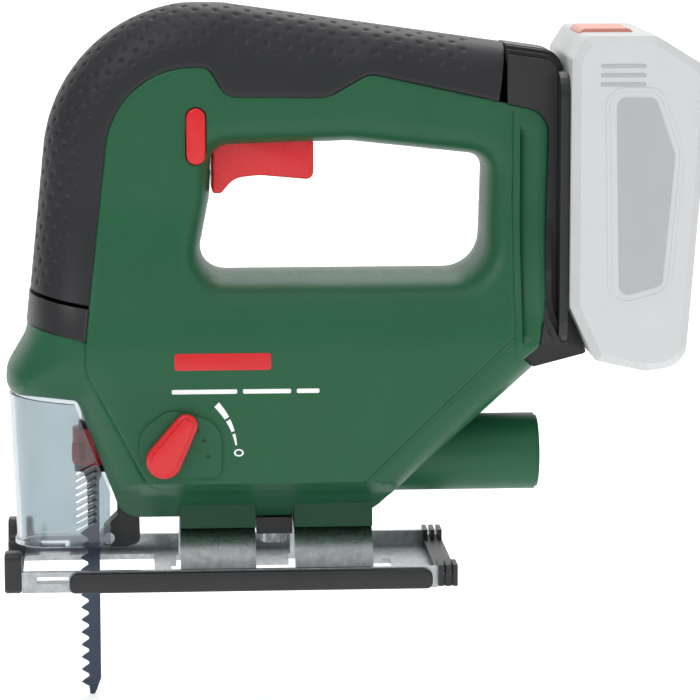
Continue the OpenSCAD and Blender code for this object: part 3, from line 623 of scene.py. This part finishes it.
def grip_sheet(sizes, start, stop, side, dimples, swell):
    """Half of the grip: a quarter superellipse from the crown line to the green edge, carried along
    the body's front and top; round dimples in staggered rows are pressed in along the normal."""
    end_z = CROWN_CORNER[1] + TOP_SLOPE * (GRIP_END - CROWN_CORNER[0])
    rim = rounded([(*CUFF_FOOT, 0), (*CROWN_CORNER, CROWN_RADIUS), (GRIP_END, end_z, 0)], False, 40)
    rim = resample(rim, sizes.grip_step)
    run = np.arange(len(rim)) * np.linalg.norm(rim[1] - rim[0])
    ways = -left_normals(rim)
    first = np.array(GRIP_FOOT) - rim[0]
    first = first / np.linalg.norm(first)
    blend = np.clip(run / 40, 0, 1)[:, None]
    ways = ways * blend + first * (1 - blend)
    ways = ways / np.linalg.norm(ways, axis=1, keepdims=True)
    root = meet(rim, ways, rounded([(-3.4, 78, 0)] + GRIP_LINE, False, 20))
    pick = (run >= start) & (run <= min(stop, run[-1]))
    rim, root, run = rim[pick], root[pick], run[pick]
    a = np.linspace(0, math.pi / 2, sizes.grip_rows)
    c = np.cos(a) ** (2 / 2.3)
    s = np.sin(a) ** (2 / 2.3)
    wide = half_width(root[:, 1])
    flat = root[:, None, :] + (rim - root)[:, None, :] * c[None, :, None]
    sheet = np.stack([flat[..., 0], side * wide[:, None] * s[None, :], flat[..., 1]], -1)
    du, dv = np.gradient(sheet, axis=0), np.gradient(sheet, axis=1)
    normal = np.cross(du, dv)
    normal = normal / np.maximum(np.linalg.norm(normal, axis=2, keepdims=True), 1e-9)
    centre = (root + (rim - root) * 0.4)
    outward = sheet - np.stack([centre[:, 0], 0 * wide, centre[:, 1]], -1)[:, None, :]
    normal = normal * np.where(np.sum(normal * outward, axis=2, keepdims=True) < 0, -1, 1)
    across = np.concatenate([np.zeros((len(rim), 1)),
                             np.cumsum(np.linalg.norm(np.diff(sheet, axis=1), axis=2), axis=1)], axis=1)
    press = np.zeros(across.shape)
    if dimples:
        row = np.round(across / sizes.dimple_row)
        along = run[:, None] / sizes.dimple_pitch + 0.5 * (row % 2)
        far = np.hypot((along - np.round(along)) * sizes.dimple_pitch, across - row * sizes.dimple_row)
        room = (across < np.minimum(across[:, -1:] - 7, sizes.dimple_band))
        room &= (run[:, None] > start + 3) & (run[:, None] < run[-1] - 12)
        press = sizes.dimple_depth * np.clip(1 - (far / sizes.dimple_radius) ** 2, 0, 1) * room
    fall = 0.5 * np.clip(1 - (across[:, -1:] - across) / 0.9, 0, 1) ** 2
    level = (swell - press - fall)[..., None]
    outer = sheet + normal * level
    outer[:, 0, 1] = 0
    outer[..., 2] = np.minimum(outer[..., 2], CAD_BOX[1][2] / MM)
    inner = sheet - normal * sizes.grip_wall
    inner[:, 0, 1] = 0
    return outer, inner


def length(name, description, default):
    """A size as a plain number of millimetres, so it carries no Blender length unit."""
    return bpy.props.FloatProperty(name=name, description=description + ", in millimetres", default=default)


def colour(name, description, code):
    """A colour, as its property, from an sRGB hex value."""
    return bpy.props.FloatVectorProperty(name=name, description=description, default=linear(code)[:3],
                                         size=3, min=0, max=1, subtype="COLOR")


class JigsawSizes(bpy.types.PropertyGroup):
    """Sizes in millimetres that a user would change."""
    edge_roll: length("Edge roll", "Reach of the rolled lower edge", 14.0)
    opening_roll: length("Opening roll", "Reach of the roll round the handle opening", 10.0)
    groove_depth: length("Groove depth", "Depth of the styling groove", 0.6)
    shell_wall: length("Shell wall", "Wall of the moulded shells", 2.5)
    grip_wall: length("Grip wall", "Thickness of the soft layer", 2.2)
    grip_step: length("Grip step", "Point spacing along the grip", 0.7)
    grip_rows: bpy.props.IntProperty(name="Grip rows", description="Points across half of the grip",
                                     default=58, min=12)
    dimple_pitch: length("Dimple pitch", "Spacing of dimples in a row", 7.7)
    dimple_row: length("Dimple row", "Spacing of the rows", 3.6)
    dimple_radius: length("Dimple radius", "Radius of a dimple", 1.25)
    dimple_depth: length("Dimple depth", "Depth of a dimple", 0.55)
    dimple_band: length("Dimple band", "Reach of the dimples from the crown line", 25.0)
    cuff_height: length("Cuff height", "Height of the smooth front cuff", 11.0)


class JigsawColours(bpy.types.PropertyGroup):
    """Colours of the main mouldings."""
    housing: colour("Housing", "Green of the moulded housing", "#205a3b")
    grip: colour("Grip", "Charcoal of the soft grip", "#26272a")
    controls: colour("Controls", "Red of the trigger, button and lever", "#d61e25")
    pack: colour("Pack", "Pale grey of the battery pack", "#ced0d1")


class JIGSAW_OT_housing(bpy.types.Operator):
    """Makes both hollow housing halves with their rolled edges, grooves and scoops"""
    bl_idname = "jigsaw.housing"
    bl_label = "Housing halves"

    def execute(self, context):
        sizes = context.scene.jigsaw_sizes
        verts, faces = shell_surface(sizes)
        for side, name in ((-1, "left"), (1, "right")):
            points = verts * (1, -side, 1)
            turned = faces if side < 0 else [f[::-1] for f in faces]
            piece = make_piece("shell_" + name, points, turned, "tool", "housing_green",
                               finish("housing_green"), 50)
            for group in shell_cutters(side):
                cut_away(piece, group)
            piece.data.set_sharp_from_angle(angle=math.radians(42))
            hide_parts("housing_" + name)
        return {"FINISHED"}


class JIGSAW_OT_grip(bpy.types.Operator):
    """Makes the dimpled soft grip halves and the smooth front cuff"""
    bl_idname = "jigsaw.grip"
    bl_label = "Soft grip and cuff"

    def execute(self, context):
        sizes = context.scene.jigsaw_sizes
        for side, name in ((-1, "left"), (1, "right")):
            outer, inner = grip_sheet(sizes, sizes.cuff_height + 0.4, 1e3, side, True, 0.0)
            verts, faces = closed_sheet(outer, inner, side > 0)
            piece = make_piece("soft_grip_" + name, verts, faces, "tool", "soft_grip",
                               finish("soft_grip"), 60)
            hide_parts("grip_" + name)
        halves = []
        for side in (-1, 1):
            outer, inner = grip_sheet(sizes, 0.0, sizes.cuff_height, side, False, 0.3)
            halves.append(closed_sheet(outer, inner, side > 0))
        verts, faces = joined(halves)
        piece = make_piece("smooth_cuff", verts, faces, "tool", "soft_grip", finish("black_plastic"), 60)
        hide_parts("front_cuff")
        return {"FINISHED"}


def node_plate(node, corners, edge):
    """A plate between a node's own y limits with a rolled rim, from side-view corners."""
    lo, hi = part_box(node)
    return plate_surface(resample(rounded(corners), 0.8, True), lo[1] / MM, hi[1] / MM, edge, 5)


def teardrop(x, z, big, small, reach, angle):
    """Two circles and their outer tangents, turned by an angle in degrees."""
    lean = math.acos((big - small) / reach)
    a = np.linspace(lean, 2 * math.pi - lean, 30)
    b = np.linspace(-lean, lean, 20)
    loop = np.vstack([np.c_[big * np.cos(a), big * np.sin(a)],
                      np.c_[reach + small * np.cos(b), small * np.sin(b)]])
    c, s = math.cos(math.radians(angle)), math.sin(math.radians(angle))
    return resample(loop @ np.array([[c, s], [-s, c]]) + (x, z), 0.8, True)


class JIGSAW_OT_controls(bpy.types.Operator):
    """Makes the trigger, the lock-off button and the orbit lever with rolled rims"""
    bl_idname = "jigsaw.controls"
    bl_label = "Trigger, button and lever"

    def execute(self, context):
        red = finish("signal_red")
        lo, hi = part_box("trigger")
        x0, x1, z0, z1 = lo[0] / MM - 1.1, hi[0] / MM, lo[2] / MM, hi[2] / MM
        shape = [(x0, z1, 1.1), (x1 - 3, z1, 1.1), (x1, CROWN - 49.2, 1.5), (x1, z0 + 4.6, 2.6),
                 (60, z0 + 6.4, 20), (51, z0 + 5.4, 8), (46.4, z0, 1.1), (x0, z0, 1.1)]
        piece = make_piece("trigger_blade", *node_plate("trigger", shape, 1.0), "trigger", "signal_red",
                           red, 50)
        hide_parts("trigger")
        lo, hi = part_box("lock_button")
        verts, faces = plate_surface(resample(lock_outline(0), 0.7, True), lo[1] / MM, hi[1] / MM, 1.0, 5)
        piece = make_piece("lock_bar", verts, faces, "lock", "signal_red", red, 50)
        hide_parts("lock_button")
        lo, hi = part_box("orbit_lever")
        y0, y1 = lo[1] / MM, hi[1] / MM
        base = plate_surface(teardrop(*LEVER, 6.3, 4.0, LEVER_REACH, LEVER_ANGLE), y0 + 1.3, y1, 1.1, 5)
        crest = plate_surface(teardrop(*LEVER, 4.7, 2.4, LEVER_REACH, LEVER_ANGLE), y0, y0 + 2.6, 0.6, 4)
        piece = make_piece("orbit_knob", *joined([base, crest]), "orbit", "signal_red", red, 50)
        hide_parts("orbit_lever")
        return {"FINISHED"}


class JIGSAW_OT_foot_trim(bpy.types.Operator):
    """Makes the foot's plastic rails and the front bumper with rolled rims"""
    bl_idname = "jigsaw.foot_trim"
    bl_label = "Rails and bumper"

    def execute(self, context):
        black = finish("black_plastic")
        lo, hi = (np.array(p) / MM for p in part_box("foot_rails"))
        shape = resample(rounded([(lo[0], lo[2], 2), (lo[0], hi[2], 3), (hi[0], hi[2], 3),
                                  (hi[0], lo[2], 2)]), 0.9, True)
        half = -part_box("foot_plate")[0][1] / MM
        rails = [plate_surface(shape, *sorted((s * half, s * hi[1])), 1.1, 5) for s in (-1, 1)]
        piece = make_piece("side_rails", *joined(rails), "foot", "black_plastic", black, 50)
        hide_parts("foot_rails")
        lo, hi = (np.array(p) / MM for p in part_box("front_bumper"))
        w, top = hi[1], hi[2]
        half_loop = [(w, 0, 2.2), (w, top, 2.2), (w - 8, top, 2.2), (w - 10.5, 7.5, 2),
                     (w - 13.5, 7.5, 1.6), (w - 13.5, 2, 1.4)]
        loop = rounded(half_loop + [(-y, z, r) for y, z, r in half_loop[::-1]])
        verts, faces = plate_surface(resample(loop, 0.8, True), lo[0], hi[0], 1.0, 4)
        verts = verts[:, [1, 0, 2]]
        piece = make_piece("nose_bumper", verts, [f[::-1] for f in faces], "foot", "black_plastic", black, 50)
        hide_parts("front_bumper")
        return {"FINISHED"}


class JIGSAW_OT_pack_trim(bpy.types.Operator):
    """Makes flat darker bars that paint the shade of the pack's vent slots, and its raised ridge"""
    bl_idname = "jigsaw.pack_trim"
    bl_label = "Pack details"

    def execute(self, context):
        lo, hi = (np.array(p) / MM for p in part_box("battery_case"))
        seam, top, skin = hi[0], hi[2], lo[1]
        dark, pale = [], []
        # Painted shade: the vent slots are not cut; flat bars of a darker grey lie on the skin in their place
        # and stand in for the shade inside them.
        for k in range(3):
            z = top - 11 - 3.2 * k
            loop = bar(seam - 20, seam - 4, z, z + 1.4, 0.6)
            dark.append(plate_surface(loop, skin - 0.2, skin + 0.4, 0.1, 2))
        panel = resample(rounded([(seam - 13, 104, 3), (seam - 14.5, CROWN - 32, 3),
                                  (seam - 1, CROWN - 32, 3), (seam + 6, CROWN - 52, 4),
                                  (seam + 2, 108, 3)]), 1.0, True)
        loops = [inset_loop(panel, d) for d in (-3.6, -2.4)]
        ring = np.stack([np.c_[p[:, 0], np.full(len(p), skin - 0.22), p[:, 1]] for p in loops])
        ring = np.concatenate([ring, ring[:, :1]], axis=1)
        pale.append(closed_sheet(ring, ring + (0, 0.6, 0)))
        # The vent bars take the label's darker grey as painted shade of the slots.
        make_piece("pack_vent_shade_bars", *joined(dark), "battery", "pack_grey", finish("pack_label"))
        make_piece("pack_ridge", *joined(pale), "battery", "pack_grey", finish("pack_grey"))
        return {"FINISHED"}


def printed(loop, rim=0.1, steps=2):
    """A print a little proud of the near side: a loop carried from just outside the skin to under it."""
    return plate_surface(loop, -BODY_HALF - PRINT_LIFT, -BODY_HALF + PRINT_ROOT, rim, steps)


class JIGSAW_OT_marks(bpy.types.Operator):
    """Makes the plain printed bars and the orbit scale with its zero"""
    bl_idname = "jigsaw.marks"
    bl_label = "Printed marks"

    def execute(self, context):
        make_piece("red_bar", *printed(bar(29, 63, 78.6, 84.6, 1)), "tool", "signal_red", finish("print_red"))
        white = []
        for x0, x1 in ((28, 51), (53, 70), (72, 80)):
            white.append(printed(bar(x0, x1, 70.2, 71.8, 0.5)))
        for a0, a1, w0, w1 in ((46, 33, 2.4, 1.8), (31, 21.5, 1.7, 1.2), (19.5, 10.5, 1.1, 0.6)):
            a = np.radians(np.linspace(a0, a1, 12))
            w = np.linspace(w0, w1, 12)
            outer = np.c_[(SCALE_RADIUS + w) * np.cos(a), (SCALE_RADIUS + w) * np.sin(a)]
            inner = np.c_[SCALE_RADIUS * np.cos(a), SCALE_RADIUS * np.sin(a)][::-1]
            white.append(printed(np.vstack([outer, inner]) + LEVER, 0.02, 1))
        ring = np.linspace(0, 2 * math.pi, 25)
        zero_radii = np.array([(1.35, 1.9), (0.85, 1.4)])
        sheet = np.stack([np.stack([LEVER[0] + 26.4 + r[0] * np.cos(ring) * 1.3,
                                    np.full(25, -BODY_HALF - PRINT_LIFT),
                                    LEVER[1] + 2 + r[0] * np.sin(ring)], -1)
                          for r in zero_radii])
        white.append(closed_sheet(sheet, sheet + (0, 0.5, 0)))
        make_piece("white_marks", *joined(white), "tool", "pack_label", finish("print_white"))
        return {"FINISHED"}


class JIGSAW_OT_finishes(bpy.types.Operator):
    """Gives every kept frame node its finish"""
    bl_idname = "jigsaw.finishes"
    bl_label = "Finishes of the frame"

    def execute(self, context):
        slots = {row["node"]: row["material_slot"] for row in frame["record"]["subparts"]}
        for node, piece in frame["nodes"].items():
            key = {"foot_plate": "sheet_steel", "foot_cradle": "coated_alloy"}.get(node, slots[node])
            piece.data.materials.clear()
            piece.data.materials.append(finish(key))
        return {"FINISHED"}


class JIGSAW_OT_stage(bpy.types.Operator):
    """Sets the pale floor, the soft lights and the camera"""
    bl_idname = "jigsaw.stage"
    bl_label = "Stage"

    def execute(self, context):
        floor_z = CAD_BOX[0][2] - 0.0005
        u = np.linspace(0, 1, 60)
        bend = np.clip((u - 0.55) / 0.25, 0, 1) * math.pi / 2
        depth = np.where(u < 0.55, -2.2 + u / 0.55 * 3.4, 1.2 + 0.8 * np.sin(bend))
        rise = np.where(u < 0.55, 0, 0.8 * (1 - np.cos(bend))) + np.clip((u - 0.8) / 0.2, 0, 1) * 2.0
        wide = np.linspace(-3, 3, 12)
        sheet = np.stack(np.broadcast_arrays(wide[None, :], depth[:, None], floor_z + rise[:, None]), -1)
        mesh = bpy.data.meshes.new("paper_sweep")
        mesh.from_pydata(sheet.reshape(-1, 3).tolist(), [], grid_faces(60, 12, 0, True).tolist())
        mesh.polygons.foreach_set("use_smooth", [True] * len(mesh.polygons))
        paper = bpy.data.objects.new("paper_sweep", mesh)
        mesh.materials.append(finish("paper"))
        context.collection.objects.link(paper)
        for name, at, size, power in LAMPS:
            light = bpy.data.lights.new(name, "AREA")
            light.energy, light.size = power, size
            lamp = bpy.data.objects.new(name, light)
            lamp.location = at
            lamp.rotation_mode = "QUATERNION"
            lamp.rotation_quaternion = (Vector(LAMP_AIM) - Vector(at)).to_track_quat("-Z", "Y")
            context.collection.objects.link(lamp)
        world = bpy.data.worlds.new("studio")
        world.use_nodes = True
        tree = world.node_tree
        rise = add(tree, "ShaderNodeSeparateXYZ",
                   [("Vector", add(tree, "ShaderNodeTexCoord").outputs["Generated"])]).outputs["Z"]
        ramp = add(tree, "ShaderNodeValToRGB", [("Fac", rise)])
        for stop, (at, code) in zip(ramp.color_ramp.elements, ((0.0, "#b4b6b8"), (0.7, "#ffffff"))):
            stop.position, stop.color = at, linear(code)
        tree.links.new(ramp.outputs["Color"], tree.nodes["Background"].inputs["Color"])
        tree.nodes["Background"].inputs["Strength"].default_value = 0.6
        context.scene.world = world
        context.scene.view_settings.view_transform = "Standard"
        turn, lift = math.radians(CAMERA_TURN), math.radians(CAMERA_LIFT)
        back = Vector((math.sin(turn) * math.cos(lift), -math.cos(turn) * math.cos(lift), math.sin(lift)))
        data = bpy.data.cameras.new("camera")
        data.lens, data.sensor_width = CAMERA_LENS, CAMERA_SENSOR
        camera = bpy.data.objects.new("camera", data)
        camera.location = Vector(CAMERA_AIM) + back * CAMERA_REACH
        camera.rotation_mode = "QUATERNION"
        camera.rotation_quaternion = (-back).to_track_quat("-Z", "Y")
        context.collection.objects.link(camera)
        context.scene.camera = camera
        return {"FINISHED"}


class JIGSAW_PT_panel(bpy.types.Panel):
    """Lists the steps in the sidebar"""
    bl_label = "Jigsaw"
    bl_idname = "JIGSAW_PT_panel"
    bl_space_type = "VIEW_3D"
    bl_region_type = "UI"
    bl_category = "Jigsaw"

    def draw(self, context):
        for step in STEPS:
            self.layout.operator(step.bl_idname)


STEPS = [JIGSAW_OT_stage, JIGSAW_OT_finishes, JIGSAW_OT_housing, JIGSAW_OT_grip, JIGSAW_OT_controls,
         JIGSAW_OT_foot_trim, JIGSAW_OT_pack_trim, JIGSAW_OT_marks]
CLASSES = [JigsawSizes, JigsawColours, *STEPS, JIGSAW_PT_panel]


def register():
    for item in CLASSES:
        bpy.utils.register_class(item)
    bpy.types.Scene.jigsaw_sizes = bpy.props.PointerProperty(type=JigsawSizes)
    bpy.types.Scene.jigsaw_colours = bpy.props.PointerProperty(type=JigsawColours)


def unregister():
    del bpy.types.Scene.jigsaw_colours
    del bpy.types.Scene.jigsaw_sizes
    for item in reversed(CLASSES):
        bpy.utils.unregister_class(item)


def main():
    register()
    for step in STEPS:
        group, name = step.bl_idname.split(".")
        getattr(getattr(bpy.ops, group), name)()


if __name__ == "__main__":
    main()
